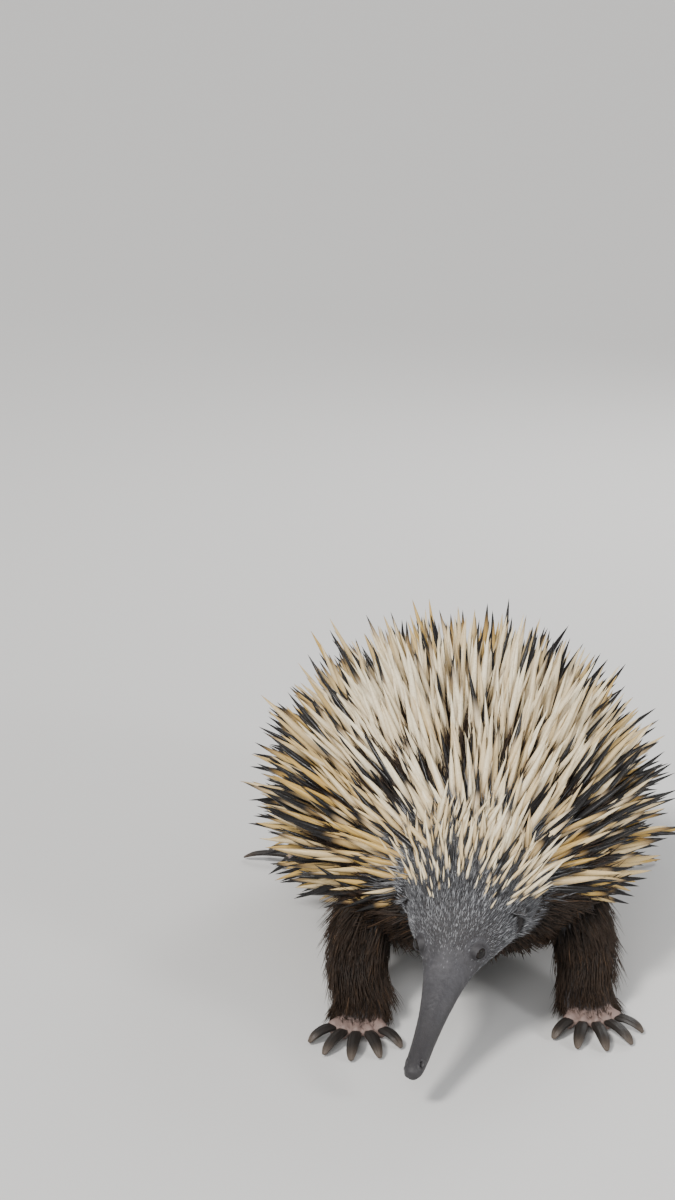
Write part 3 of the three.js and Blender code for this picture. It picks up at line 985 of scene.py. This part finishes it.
def strands(name, roots, lean, length, wide, thick, profile, sides, bend, sway, sunk, **attributes):
    """Tapered strands with closed roots and pointed tips.

    lean is the angle between a strand and the way out of the skin, bend how far it turns down to the skin by
    its tip, and sway how far it leans aside. profile lists how far along each ring lies and how wide it is,
    and the last one is the tip. sunk is how deep in the skin a strand starts.
    """
    count = len(roots)
    lean, length, wide, thick, bend, sway = (
        np.broadcast_to(np.asarray(v, float), count) for v in (lean, length, wide, thick, bend, sway)
    )
    rings = len(profile)
    steps = np.array([p[0] for p in profile])
    spine = np.zeros((count, rings, 3))
    heading = np.zeros((count, rings, 3))
    for k, at in enumerate(steps):
        tilt = lean + bend * at
        way = roots.out * np.cos(tilt)[:, None] + roots.lie * np.sin(tilt)[:, None]
        way = unit(way + roots.round * np.sin(sway)[:, None])
        heading[:, k] = way
        if k:
            between = 0.5 * (heading[:, k] + heading[:, k - 1])
            spine[:, k] = spine[:, k - 1] + between * (length * (at - steps[k - 1]))[:, None]
    spine += (roots.point - roots.out * sunk)[:, None]
    flat = unit(np.cross(heading, roots.out[:, None] + 1e-4 * roots.round[:, None]))
    rise = np.cross(flat, heading)
    turn = np.arange(sides) * 2 * math.pi / sides + math.pi / 2
    body = rings - 1
    width = np.array([p[1] for p in profile[:-1]])
    ring = (
        spine[:, :body, None]
        + flat[:, :body, None] * (np.cos(turn) * (wide[:, None, None] * width[:, None]))[..., None]
        + rise[:, :body, None] * (np.sin(turn) * (thick[:, None, None] * width[:, None]))[..., None]
    )
    each = body * sides + 1
    points = np.concatenate([ring.reshape(count, body * sides, 3), spine[:, -1:, :]], axis=1)
    faces = []
    for k in range(body - 1):
        for i in range(sides):
            a, b = k * sides + i, k * sides + (i + 1) % sides
            faces += [(b, a, b + sides), (b + sides, a, a + sides)]
    last = (body - 1) * sides
    faces += [(last + (i + 1) % sides, last + i, each - 1) for i in range(sides)]
    faces += [(0, i, i + 1) for i in range(1, sides - 1)]
    triangles = np.array(faces)[None] + (np.arange(count) * each)[:, None, None]
    along = np.concatenate([np.repeat(steps[:-1], sides), [1.0]])
    patch = np.concatenate([np.tile(np.arange(sides) / sides, body), [0.5]])
    bake_map = roots.bake_spot()[:, None] + BAKE_PATCH * np.stack([patch, along], 1)[None]
    points = points.reshape(-1, 3)
    points[:, 2] = np.maximum(points[:, 2], OFF_FLOOR)
    made = mesh_of(name, points, triangles.reshape(-1, 3), bake_map.reshape(-1, 2))
    numbers = {key: np.repeat(np.broadcast_to(values, count), each) for key, values in attributes.items()}
    give(made, along=np.tile(along, count), **numbers)
    return made


def trunk_cover(t):
    """How far down from its top the trunk has spines."""
    return (106 + 12 * smoothstep(t, 0.1, 0.3) + 6 * smoothstep(t, 0.8, 0.95)) * DEG


def trunk_lean(t):
    """How far the coat of the trunk leans back."""
    raised = 24 * smoothstep(t, 0.05, 0.5) + 14 * smoothstep(t, 0.5, 0.8) + 16 * smoothstep(t, 0.8, 0.97)
    return (62 - raised) * DEG


def spined(t):
    return -trunk_cover(t), trunk_cover(t)


def unspined(t):
    """The part of the trunk that has no spines, with a little more on both sides."""
    return trunk_cover(t) - 8 * DEG, 2 * math.pi - trunk_cover(t) + 8 * DEG


def within(width):
    """All of a form that is no further than width from its top."""
    return lambda t: (-width, width)


def trunk_reach(t, angle):
    """How long the spines of the trunk are."""
    back = 32 + 14 * smoothstep(t, 0, 0.35) - 6 * smoothstep(t, 0.7, 1)
    return back * (1 - 0.25 * smoothstep(np.abs(angle), 85 * DEG, 120 * DEG))


def ripple(points, scale, seed):
    """A smooth number from -1 to 1 for each point, that changes over about scale metres."""
    rng = np.random.default_rng(seed)
    total = np.zeros(len(points))
    for _ in range(5):
        way = unit(rng.normal(size=3)) * rng.uniform(0.7, 1.6) * 2 * math.pi / scale
        total += np.sin(points @ way + rng.uniform(0, 2 * math.pi))
    return total / 5


# Millimetres between neighbouring roots
SPINES_APART = {"trunk": 6.1, "crown": 4.4, "tail": 4.8}
FUR_APART = {"under": 2.0, "belly": 1.6, "leg": 1.15, "face": 0.76, "tail": 1.8}

COARSE = 0.36  # half the width of a tuft of the dark hair

# The lengths and girths of spines by their rank, as shares of the usual ones
SPINE_RANKS = (0, 0.35, 0.80, 0.94, 1)
SPINE_LENGTHS = (0.60, 0.84, 1.05, 1.17, 1.36)
SPINE_GIRTHS = (0.66, 0.88, 1.05, 1.14, 1.20)

# How far along a strand each of its rings lies, and how wide it is
SPINE_TAPER = [(0, 0.6), (0.07, 0.8), (0.2, 1), (0.4, 0.97), (0.62, 0.74), (0.82, 0.42), (0.94, 0.17), (1, 0)]
HAIR_TAPER = [(0, 0.7), (0.4, 1), (0.8, 0.55), (1, 0)]
FACE_TAPER = [(0, 0.8), (0.5, 1), (1, 0)]


def creaminess(t, angle):
    """1 on the nape, and least low on the rump."""
    front = falling(t, 0.30, 0.85)
    top = falling(np.abs(angle), 30 * DEG, 80 * DEG)
    return np.clip(0.15 * front + 0.25 * top + 0.65 * front * top, 0, 1)


def spine_colours(roots, cream):
    """How much of each spine is dark and how yellow it is, where cream is 1 on the nape."""
    pick = roots.chance() + 0.20 * ripple(roots.point, 0.05, seed=5)
    black = pick > 0.62 + 0.36 * cream
    banded = pick > 0.47 + 0.45 * cream
    tipped = pick > 0.22 + 0.56 * cream
    dark = np.where(black, 1.18, np.where(banded, 0.56, np.where(tipped, 0.27, -0.06)))
    dark = np.clip(dark + roots.vary(0.10) - cream * 0.16, -0.3, 1.2)
    warm = np.clip(0.92 + 0.3 * ripple(roots.point, 0.06, seed=8) + roots.vary(0.34) - cream * 0.80, 0, 1)
    return {"dark": dark, "warm": warm}


def add_coat(piece, finish):
    piece.data.materials.append(finish)
    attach(piece, "root")


def make_spines(name, roots, lean, reach, cream, radius=1.95):
    # Short thin ones stand among long thick ones
    rank = roots.chance()
    length = reach * MM * np.interp(rank, SPINE_RANKS, SPINE_LENGTHS)
    thick = radius * MM * np.interp(rank, SPINE_RANKS, SPINE_GIRTHS) * (1 + roots.vary(0.10))
    lean = lean + roots.vary(11 * DEG) + 8 * DEG * ripple(roots.point, 0.045, seed=21)
    sway = roots.vary(10 * DEG) + 9 * DEG * ripple(roots.point, 0.05, seed=22)
    bend = roots.vary(8 * DEG)
    colours = spine_colours(roots, cream)
    shape = {"profile": SPINE_TAPER, "sides": 6, "bend": bend, "sway": sway, "sunk": 0.003}
    add_coat(strands(name, roots, lean, length, thick, thick * 0.9, **shape, **colours), horn)


def make_fur(
    name, roots, lean, length, finish, bend, wide=COARSE, unruly=10 * DEG, sunk=0.4, profile=HAIR_TAPER
):
    """Flattened tufts of hair. unruly is the most that one leans away from the others."""
    length = length * MM * (1 + roots.vary(0.3))
    lean = lean + roots.vary(unruly)
    thick = wide * MM * 0.55
    wide = wide * MM * (1 + roots.vary(0.3))
    bend = bend + roots.vary(0.2)
    sway = roots.vary(unruly * 1.6) + unruly * ripple(roots.point, 0.03, seed=31)
    shade = roots.chance()
    shape = {"profile": profile, "sides": 3, "bend": bend, "sway": sway, "sunk": sunk * MM}
    add_coat(strands(name, roots, lean, length, wide, thick, **shape, shade=shade), finish)


# The making of the animal

hide = hide_finish()
horn = spine_finish()
claw_horn = claw_finish()
wet_eye = eye_finish()
body_fur = fur_finish("body_fur", (0.010, 0.007, 0.005), (0.040, 0.023, 0.013), (0.15, 0.085, 0.045), 0.30)
face_fur = fur_finish("face_fur", (0.028, 0.027, 0.029), (0.160, 0.163, 0.175), (0.44, 0.45, 0.47), 0.50)

skin = make_skin()
finished(skin, hide)
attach(skin, "root")
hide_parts("trunk", "head", "beak", "tail", *LEGS)

for eye, side_name in make_eyes(wet_eye):
    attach(eye, "root")
    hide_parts(f"eye_{side_name}")

for leg_name in LEGS:
    claws = make_claws(leg_name, claw_horn)
    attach(claws, "root")

skin_tree = bvh_of(skin)

# Spines of the trunk in two pieces, then those of the crown and the tail
for half_name, start, end, seed in (("front", 0.012, 0.5, 1), ("back", 0.5, 0.99, 6)):
    half = Roots(TRUNK, SPINES_APART["trunk"], spined, start, end, seed, stray=0.32)
    half.clear(ear_spots(), 12)
    half.keep((half.t > 0.07) | (np.abs(half.angle) < 96 * DEG))
    cream = creaminess(half.t, half.angle)
    make_spines(f"spines_{half_name}", half, trunk_lean(half.t), trunk_reach(half.t, half.angle), cream)

crown_sides = 86 * DEG
crown_front = 0.37
crown = Roots(HEAD, SPINES_APART["crown"], within(crown_sides), 0.01, crown_front, 2, stray=0.38, toward=-1)
crown.clear(ear_spots(), 11)
hairline = 0.32 + 0.05 * ripple(crown.point, 0.02, seed=41)
crown.keep(crown.t < hairline - 0.10 * smoothstep(np.abs(crown.angle), 40 * DEG, crown_sides))
brow = smoothstep(crown.t, 0.12, crown_front)
make_spines("spines_crown", crown, 62 * DEG, 25 - 14 * brow, 0.85, radius=1.15 - 0.5 * brow)

tail_spines = Roots(TAIL, SPINES_APART["tail"], within(105 * DEG), 0.12, 0.97, 3, stray=0.35)
make_spines("spines_tail", tail_spines, 50 * DEG, 28.0, 0.1, radius=1.2)

# Long dark hair among the spines, and the fur of the belly, legs, toes, tail and face
for half_name, start, end, seed in (("front", 0.01, 0.5, 4), ("back", 0.5, 0.99, 40)):
    under = Roots(TRUNK, FUR_APART["under"], spined, start, end, seed)
    under.clear(ear_spots(), 9)
    if half_name == "front":
        nape_end = 0.17 - 0.04 * np.abs(under.angle) - 0.05 * ripple(under.point, 0.03, seed=51)
        nape, under = under.split(under.t < nape_end)
        make_fur("hair_nape", nape, trunk_lean(nape.t) + 8 * DEG, 15.0, face_fur, 0.25, wide=0.28)
    lean = trunk_lean(under.t) + 8 * DEG + 38 * DEG * smoothstep(under.t, 0.84, 0.95)
    make_fur(f"hair_under_spines_{half_name}", under, lean, 20.0, body_fur, 0.25)
    belly = Roots(TRUNK, FUR_APART["belly"], unspined, start, end, seed + 1)
    locks = ripple(belly.point, 0.018, seed=62)
    long = (21 - 9 * np.abs(np.cos(belly.angle))) * (1 + 0.3 * locks)
    lean = 65 * DEG - 13 * DEG * locks
    make_fur(f"fur_belly_{half_name}", belly, lean, long, body_fur, 0.42, unruly=8 * DEG)

for number, (leg_name, leg) in enumerate(LEGS.items()):
    roots = Roots(leg.form, FUR_APART["leg"], within(math.pi), 0.12, 0.98, 10 + number, near=4.5)
    roots.keep((roots.point[:, 2] > 0.003) & (roots.out[:, 2] > -0.75))
    roots.keep(roots.chance() > on_toes(leg_name, roots.point, -7, 1))
    locks = ripple(roots.point, 0.016, seed=61) * falling(roots.t, 0.70, 0.92)
    long = (15.5 - 11 * smoothstep(roots.t, 0.42, 0.95)) * (1 + 0.35 * locks)
    width = 0.32 - 0.16 * smoothstep(roots.t, 0.5, 0.9)
    lean = 69 * DEG - 15 * DEG * locks
    make_fur(f"fur_{leg_name}", roots, lean, long, body_fur, 0.38, wide=width, unruly=7 * DEG, sunk=0.3)

face = Roots(HEAD, FUR_APART["face"], within(math.pi), 0.03, head_at(64), 20, near=3.0, toward=-1)
face.clear(eye_spots(), 5.2)
face.clear(ear_spots(), 2.8)
face.keep(face.chance() > 0.9 * smoothstep(face.t, head_at(46), head_at(64)))
ahead = face.t * HEAD_LENGTH - HEAD_BEHIND
long = 8.0 - 5.9 * smoothstep(ahead, 5, 48) - 0.8 * smoothstep(ahead, 48, 64)
width = 0.17 - 0.05 * smoothstep(ahead, 30, 64)
make_fur("fur_face", face, 72 * DEG, long, face_fur, 0.2, width, 8 * DEG, sunk=0.15, profile=FACE_TAPER)

tail_fur = Roots(TAIL, FUR_APART["tail"], within(math.pi), 0.1, 0.99, 21)
make_fur("fur_tail", tail_fur, 62 * DEG, 14.0, body_fur, 0.3)

# Floor, lights and camera

deselect()
bpy.ops.mesh.primitive_circle_add(vertices=96, radius=40, fill_type="NGON", location=(0, 0, 0))
floor = bpy.context.object
floor.name = "floor"
floor_finish = Finish("pale_floor", Roughness=0.8, Specular_IOR_Level=0.2)
floor_colour = floor_finish.blend(floor_finish.noise(2.0) * 0.3, (0.64, 0.635, 0.625), (0.62, 0.615, 0.605))
floor_finish.feed(Base_Color=floor_colour)
floor.data.materials.append(floor_finish.material)

world = bpy.data.worlds.new("studio")
bpy.context.scene.world = world
world.use_nodes = True
sky = Nodes(world.node_tree, "Background", Strength=1.0)
height = sky.node("SeparateXYZ", output="Z", Vector=sky.node("TexCoord", output="Generated"))
sky.feed(Color=sky.blend(height.step(0.02, 0.35), (0.86, 0.855, 0.845), (0.50, 0.505, 0.515)))

MIDDLE = Vector((0, 0, 0.085))


def add_light(name, kind, place, power, size, colour=(1, 1, 1)):
    """A light that looks at the animal's middle."""
    light = bpy.data.lights.new(name, kind)
    setattr(light, "angle" if kind == "SUN" else "size", size)
    light.energy = power
    light.color = colour
    made = in_scene(name, light)
    made.location = place
    made.rotation_euler = (MIDDLE - Vector(place)).to_track_quat("-Z", "Y").to_euler()


add_light("key", "SUN", (-0.7, -0.8, 1.3), 3.1, 12 * DEG, (1, 0.975, 0.94))
add_light("front", "AREA", (-0.25, -1.3, 0.75), 7, 0.5)
add_light("rim", "AREA", (0.6, 1.2, 0.9), 9, 0.5)
add_light("glint", "AREA", (1.0, -0.75, 0.6), 7, 0.25)

# The camera's place round the animal, and where the middle of the animal lies in the photograph
IMAGE = (675, 1200)
AZIMUTH = -4 * DEG
ELEVATION = 21.5 * DEG
DISTANCE = 1.3
SCALE = 1.76  # pixels for each millimetre at the animal's middle
MIDDLE_IN_IMAGE = (461, 800)


def add_camera():
    data = bpy.data.cameras.new("camera")
    camera = in_scene("camera", data)
    bpy.context.scene.camera = camera
    level = math.cos(ELEVATION)
    back = Vector((math.sin(AZIMUTH) * level, -math.cos(AZIMUTH) * level, math.sin(ELEVATION)))
    camera.location = MIDDLE + back * DISTANCE
    pixel = 1 / SCALE * MM / DISTANCE  # the tangent of one pixel's angle
    data.sensor_fit = "VERTICAL"
    data.angle = 2 * math.atan(IMAGE[1] / 2 * pixel)
    right = (MIDDLE_IN_IMAGE[0] - IMAGE[0] / 2) * pixel
    below = math.atan((MIDDLE_IN_IMAGE[1] - IMAGE[1] / 2) * pixel)
    # The camera is turned, level, until the animal's middle is that far to the right of its axis and below it
    aside = right * math.cos(below) / math.hypot(1, right * math.cos(below))
    turn = math.asin(aside / level)
    pitch = math.atan2(-math.sin(ELEVATION), level * math.cos(turn)) + below
    camera.rotation_euler = (math.pi / 2 + pitch, 0, AZIMUTH + turn)
    data.clip_start = 0.01


add_camera()
